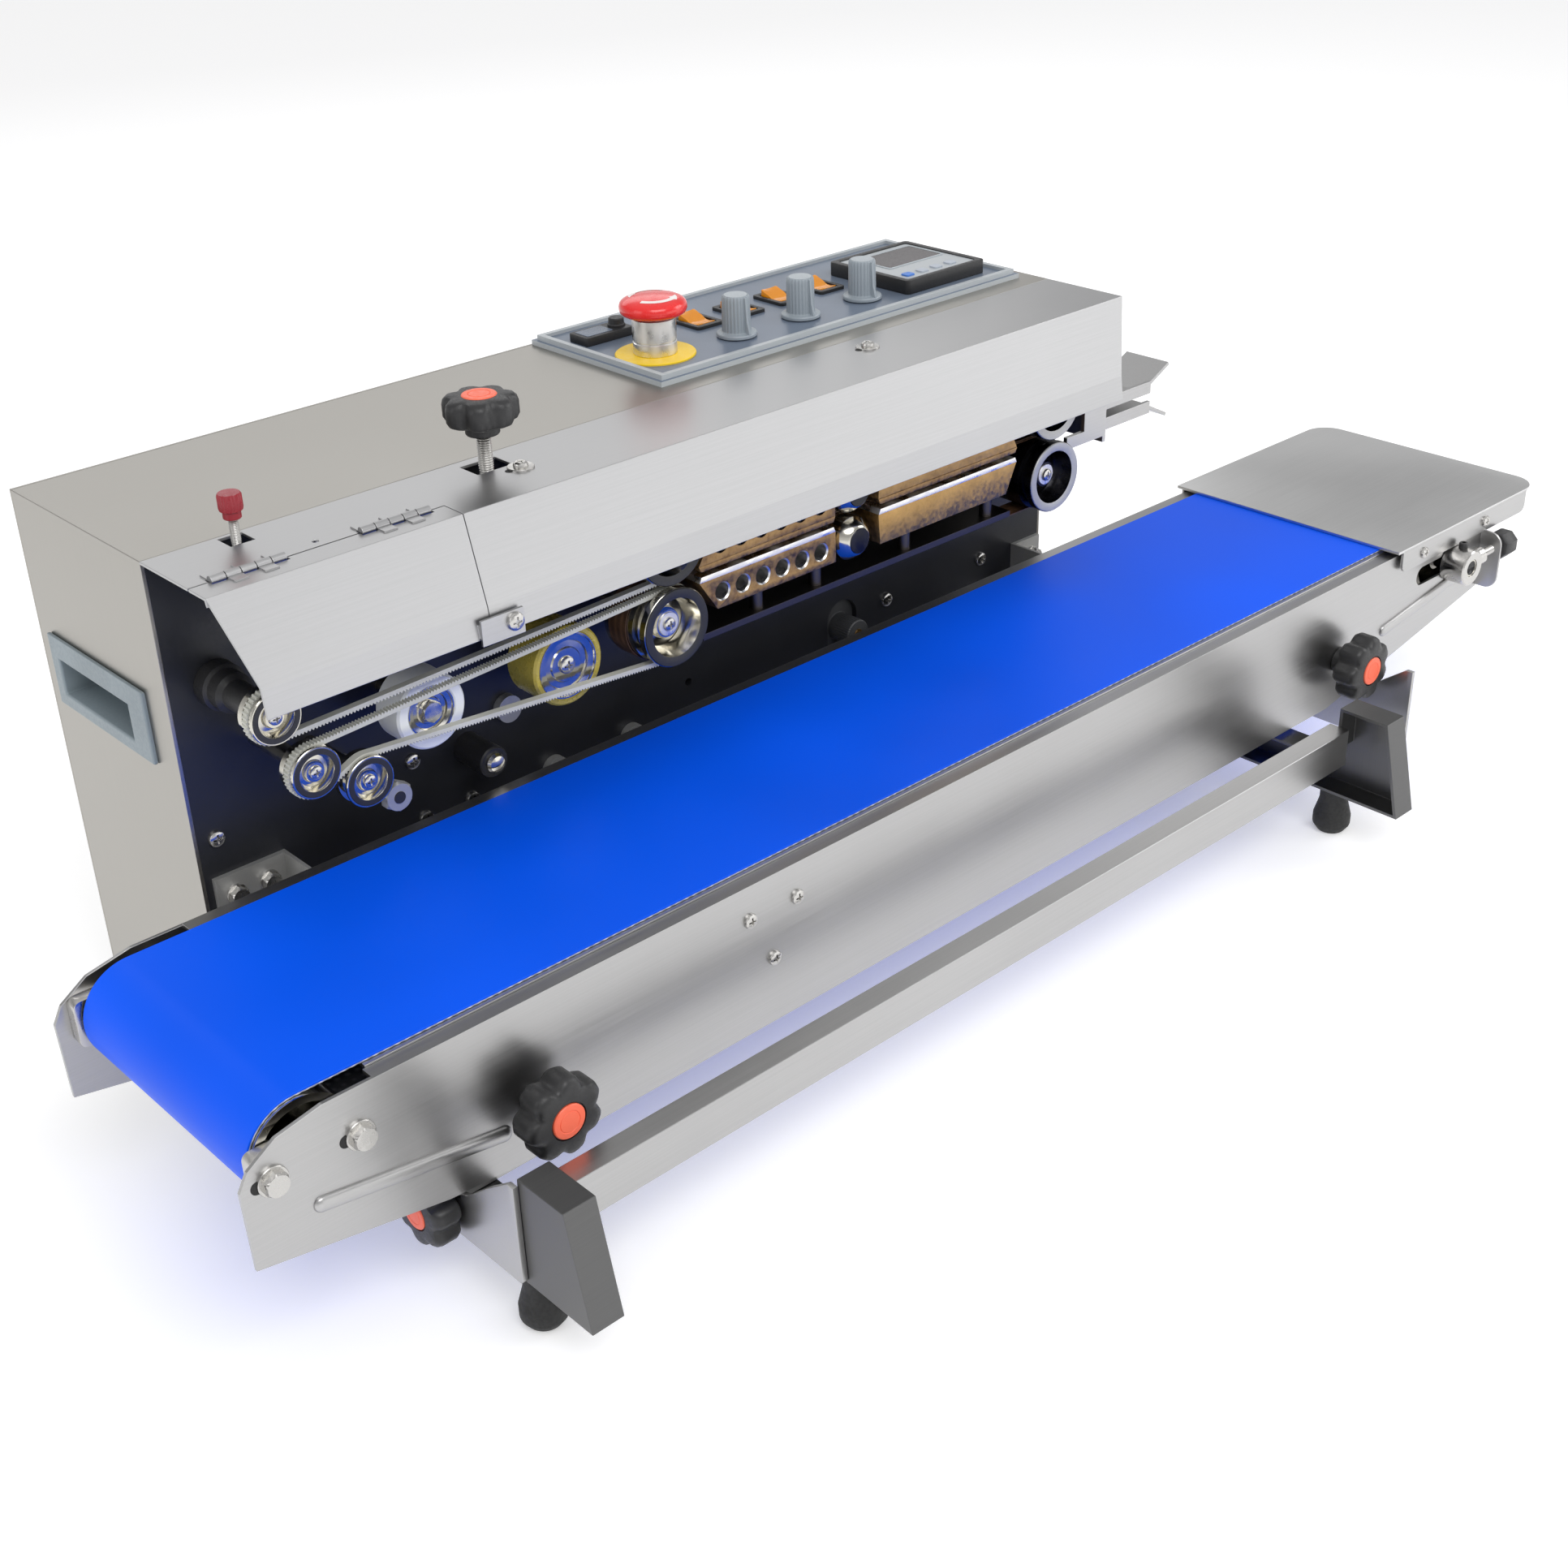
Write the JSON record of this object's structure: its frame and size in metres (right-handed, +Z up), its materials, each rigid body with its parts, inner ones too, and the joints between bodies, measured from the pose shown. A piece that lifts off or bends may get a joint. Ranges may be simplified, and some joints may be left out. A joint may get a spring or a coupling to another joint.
{
  "type": "continuous band sealer",
  "caption": "Horizontal continuous band sealer: steel cabinet with a guarded sealing head over a blue belt conveyor that adjusts in height and depth.",
  "frame": {"origin": "bottom centre of the machine's box, on the surface it stands on", "axes": "+X along the machine towards the loading plate, +Y towards the back, +Z up"},
  "size_m": [1.046, 0.436, 0.3595],
  "materials": {
    "steel_case": "brushed, warm grey stainless",
    "steel_guard": "bright brushed stainless",
    "steel_conveyor": "brushed stainless",
    "black_wall": "satin black",
    "zinc": "bright zinc",
    "chrome": "polished",
    "brass": "milled, worn",
    "band": "woven glass coated with PTFE",
    "guide_belt": "matt toothed belt",
    "yellow_pu": "translucent polyurethane",
    "nylon": "white nylon",
    "blue_belt": "smooth blue PVC",
    "grey_plastic": "moulded",
    "panel_plastic": "fine texture",
    "knob_grey": "moulded",
    "black_plastic": "moulded",
    "black_rubber": "matt",
    "amber": "translucent",
    "red_plastic": "moulded",
    "dark_red": "moulded",
    "yellow_plate": "printed disc",
    "ledge_steel": "heat-tinted",
    "motor_grey": "painted casting",
    "board": "lacquered"
  },
  "bodies": {
    "machine": {"base_plate": "steel_case", "wall_panel": "black_wall", "case_shell": "steel_case", "rear_panel": "steel_case", "side_handles": "grey_plastic", "guard_cover": "steel_guard", "control_panel": "panel_plastic", "temp_controller": "black_plastic", "switch_bezels": "black_plastic", "estop_base": "yellow_plate", "wall_brackets": "zinc", "leg_left": "steel_conveyor", "leg_right": "steel_conveyor", "front_rail": "steel_conveyor", "rubber_feet": "black_rubber", "wall_shelf": "ledge_steel", "heating_blocks": "brass", "cooling_blocks": "brass", "inlet_guide": "steel_conveyor", "seal_bands": "band", "guide_belts": "guide_belt", "gearmotor": "motor_grey", "electrics": "board", "case_screws": "zinc"},
    "flap": {"guard_flap": "steel_guard"},
    "estop": {"estop_button": "red_plastic"},
    "switch_1": {"rocker_1": "amber"},
    "switch_2": {"rocker_2": "amber"},
    "switch_3": {"rocker_3": "amber"},
    "switch_4": {"rocker_4": "amber"},
    "dial_1": {"dial_knob_1": "knob_grey"},
    "dial_2": {"dial_knob_2": "knob_grey"},
    "dial_3": {"dial_knob_3": "knob_grey"},
    "pressure": {"pressure_screw": "black_plastic"},
    "guide_adjuster": {"guide_screw": "dark_red"},
    "lower_wheel_right_body": {"lower_wheel_right": "chrome"},
    "lower_wheel_left_body": {"lower_wheel_left": "chrome"},
    "upper_wheel_left_body": {"upper_wheel_left": "chrome"},
    "upper_wheel_right_body": {"upper_wheel_right": "chrome"},
    "nylon_wheel_body": {"nylon_wheel": "nylon"},
    "press_wheel_body": {"press_wheel": "yellow_pu"},
    "upper_guide_pulley_body": {"upper_guide_pulley": "chrome"},
    "lower_guide_pulley_body": {"lower_guide_pulley": "chrome"},
    "guide_idler_body": {"guide_idler": "chrome"},
    "lower_nip_roller_body": {"lower_nip_roller": "chrome"},
    "upper_nip_roller_body": {"upper_nip_roller": "chrome"},
    "drive_coupling_body": {"drive_coupling": "black_plastic"},
    "carriage": {"carriage_brackets": "steel_conveyor"},
    "depth_clamp_body": {"depth_clamp": "black_plastic"},
    "conveyor": {"conveyor_front_plate": "steel_conveyor", "conveyor_bed": "steel_conveyor", "loading_plate": "steel_conveyor", "conveyor_belt": "blue_belt", "conveyor_hardware": "zinc", "tension_screws": "black_plastic"},
    "clamp_left": {"clamp_knob_left": "black_plastic"},
    "clamp_right": {"clamp_knob_right": "black_plastic"},
    "drive_roller_body": {"drive_roller": "chrome"},
    "tail_carriage": {"tail_blocks": "chrome"},
    "tail_roller_body": {"tail_roller": "chrome"}
  },
  "joints": [
    {"name": "flap_hinge", "type": "hinge", "parent": "machine", "child": "flap", "pos_m": [-0.351, 0.032, 0.3205], "axis": [-1, 0, 0], "range_deg": [0, 110]},
    {"name": "estop_push", "type": "slide", "parent": "machine", "child": "estop", "axis": [0, 0, -1], "range_m": [0, 0.005]},
    {"name": "switch_1_rock", "type": "hinge", "parent": "machine", "child": "switch_1", "pos_m": [-0.003, 0.164, 0.324], "axis": [-1, 0, 0], "range_deg": [0, 20]},
    {"name": "switch_2_rock", "type": "hinge", "parent": "machine", "child": "switch_2", "pos_m": [0.0315, 0.164, 0.324], "axis": [-1, 0, 0], "range_deg": [0, 20]},
    {"name": "switch_3_rock", "type": "hinge", "parent": "machine", "child": "switch_3", "pos_m": [0.066, 0.164, 0.324], "axis": [-1, 0, 0], "range_deg": [0, 20]},
    {"name": "switch_4_rock", "type": "hinge", "parent": "machine", "child": "switch_4", "pos_m": [0.1005, 0.164, 0.324], "axis": [-1, 0, 0], "range_deg": [0, 20]},
    {"name": "dial_1_turn", "type": "hinge", "parent": "machine", "child": "dial_1", "pos_m": [-0.0043, 0.1255, 0.324], "axis": [0, 0, -1], "range_deg": [0, 280]},
    {"name": "dial_2_turn", "type": "hinge", "parent": "machine", "child": "dial_2", "pos_m": [0.0486, 0.1255, 0.324], "axis": [0, 0, -1], "range_deg": [0, 280]},
    {"name": "dial_3_turn", "type": "hinge", "parent": "machine", "child": "dial_3", "pos_m": [0.102, 0.1255, 0.324], "axis": [0, 0, -1], "range_deg": [0, 280]},
    {"name": "pressure_turn", "type": "hinge", "parent": "machine", "child": "pressure", "pos_m": [-0.2346, 0.063, 0.338], "axis": [0, 0, 1], "range_deg": [-360, 360]},
    {"name": "guide_turn", "type": "hinge", "parent": "machine", "child": "guide_adjuster", "pos_m": [-0.3769, 0.069, 0.331], "axis": [0, 0, 1], "range_deg": [-360, 360]},
    {"name": "lower_wheel_right_spin", "type": "hinge", "parent": "machine", "child": "lower_wheel_right_body", "pos_m": [0.1675, 0.04, 0.2143], "axis": [0, 1, 0], "continuous": true},
    {"name": "lower_wheel_left_spin", "type": "hinge", "parent": "machine", "child": "lower_wheel_left_body", "pos_m": [-0.1505, 0.04, 0.2143], "axis": [0, 1, 0], "continuous": true},
    {"name": "upper_wheel_left_spin", "type": "hinge", "parent": "machine", "child": "upper_wheel_left_body", "pos_m": [-0.1505, 0.04, 0.2627], "axis": [0, 1, 0], "continuous": true},
    {"name": "upper_wheel_right_spin", "type": "hinge", "parent": "machine", "child": "upper_wheel_right_body", "pos_m": [0.1675, 0.04, 0.2627], "axis": [0, 1, 0], "continuous": true},
    {"name": "nylon_wheel_spin", "type": "hinge", "parent": "machine", "child": "nylon_wheel_body", "pos_m": [-0.303, 0.04, 0.213], "axis": [0, 1, 0], "continuous": true},
    {"name": "press_wheel_spin", "type": "hinge", "parent": "machine", "child": "press_wheel_body", "pos_m": [-0.215, 0.04, 0.2085], "axis": [0, 1, 0], "continuous": true},
    {"name": "upper_guide_pulley_spin", "type": "hinge", "parent": "machine", "child": "upper_guide_pulley_body", "pos_m": [-0.3956, 0.04, 0.2475], "axis": [0, 1, 0], "continuous": true},
    {"name": "lower_guide_pulley_spin", "type": "hinge", "parent": "machine", "child": "lower_guide_pulley_body", "pos_m": [-0.379, 0.04, 0.2115], "axis": [0, 1, 0], "continuous": true},
    {"name": "guide_idler_spin", "type": "hinge", "parent": "machine", "child": "guide_idler_body", "pos_m": [-0.3503, 0.04, 0.1953], "axis": [0, 1, 0], "continuous": true},
    {"name": "lower_nip_roller_spin", "type": "hinge", "parent": "machine", "child": "lower_nip_roller_body", "pos_m": [-0.0095, 0.04, 0.2237], "axis": [0, 1, 0], "continuous": true},
    {"name": "upper_nip_roller_spin", "type": "hinge", "parent": "machine", "child": "upper_nip_roller_body", "pos_m": [-0.0095, 0.04, 0.2533], "axis": [0, 1, 0], "continuous": true},
    {"name": "drive_coupling_spin", "type": "hinge", "parent": "machine", "child": "drive_coupling_body", "pos_m": [-0.256, 0.04, 0.158], "axis": [0, 1, 0], "continuous": true},
    {"name": "depth_slide", "type": "slide", "parent": "machine", "child": "carriage", "axis": [0, -1, 0], "range_m": [0, 0.008]},
    {"name": "depth_clamp_turn", "type": "hinge", "parent": "carriage", "child": "depth_clamp_body", "pos_m": [-0.4169, -0.109, 0.046], "axis": [1, 0, 0], "range_deg": [-180, 180]},
    {"name": "height_slide", "type": "slide", "parent": "carriage", "child": "conveyor", "axis": [0, 0, 1], "range_m": [0, 0.014]},
    {"name": "clamp_left_turn", "type": "hinge", "parent": "conveyor", "child": "clamp_left", "pos_m": [-0.371, -0.1275, 0.091], "axis": [0, -1, 0], "range_deg": [-180, 180]},
    {"name": "clamp_right_turn", "type": "hinge", "parent": "conveyor", "child": "clamp_right", "pos_m": [0.2895, -0.1275, 0.091], "axis": [0, -1, 0], "range_deg": [-180, 180]},
    {"name": "drive_roller_spin", "type": "hinge", "parent": "conveyor", "child": "drive_roller_body", "pos_m": [-0.4855, -0.0405, 0.121], "axis": [0, 1, 0], "continuous": true},
    {"name": "tail_tension", "type": "slide", "parent": "conveyor", "child": "tail_carriage", "axis": [1, 0, 0], "range_m": [-0.012, 0]},
    {"name": "tail_roller_spin", "type": "hinge", "parent": "tail_carriage", "child": "tail_roller_body", "pos_m": [0.418, -0.0405, 0.121], "axis": [0, 1, 0], "continuous": true}
  ],
  "couplings": [
    {"joint": "lower_wheel_left_spin", "follows": "lower_wheel_right_spin", "ratio": 1},
    {"joint": "upper_wheel_left_spin", "follows": "lower_wheel_right_spin", "ratio": -1},
    {"joint": "upper_wheel_right_spin", "follows": "lower_wheel_right_spin", "ratio": -1},
    {"joint": "nylon_wheel_spin", "follows": "lower_wheel_right_spin", "ratio": 1.1058},
    {"joint": "press_wheel_spin", "follows": "lower_wheel_right_spin", "ratio": 1},
    {"joint": "upper_guide_pulley_spin", "follows": "lower_wheel_right_spin", "ratio": -1.6957},
    {"joint": "lower_guide_pulley_spin", "follows": "lower_wheel_right_spin", "ratio": 1.6957},
    {"joint": "guide_idler_spin", "follows": "lower_wheel_right_spin", "ratio": -1.6957},
    {"joint": "lower_nip_roller_spin", "follows": "lower_wheel_right_spin", "ratio": 1.6912},
    {"joint": "upper_nip_roller_spin", "follows": "lower_wheel_right_spin", "ratio": -1.6912},
    {"joint": "drive_coupling_spin", "follows": "lower_wheel_right_spin", "ratio": 0.8846},
    {"joint": "drive_roller_spin", "follows": "lower_wheel_right_spin", "ratio": 0.8273},
    {"joint": "tail_roller_spin", "follows": "lower_wheel_right_spin", "ratio": 0.8273}
  ]
}
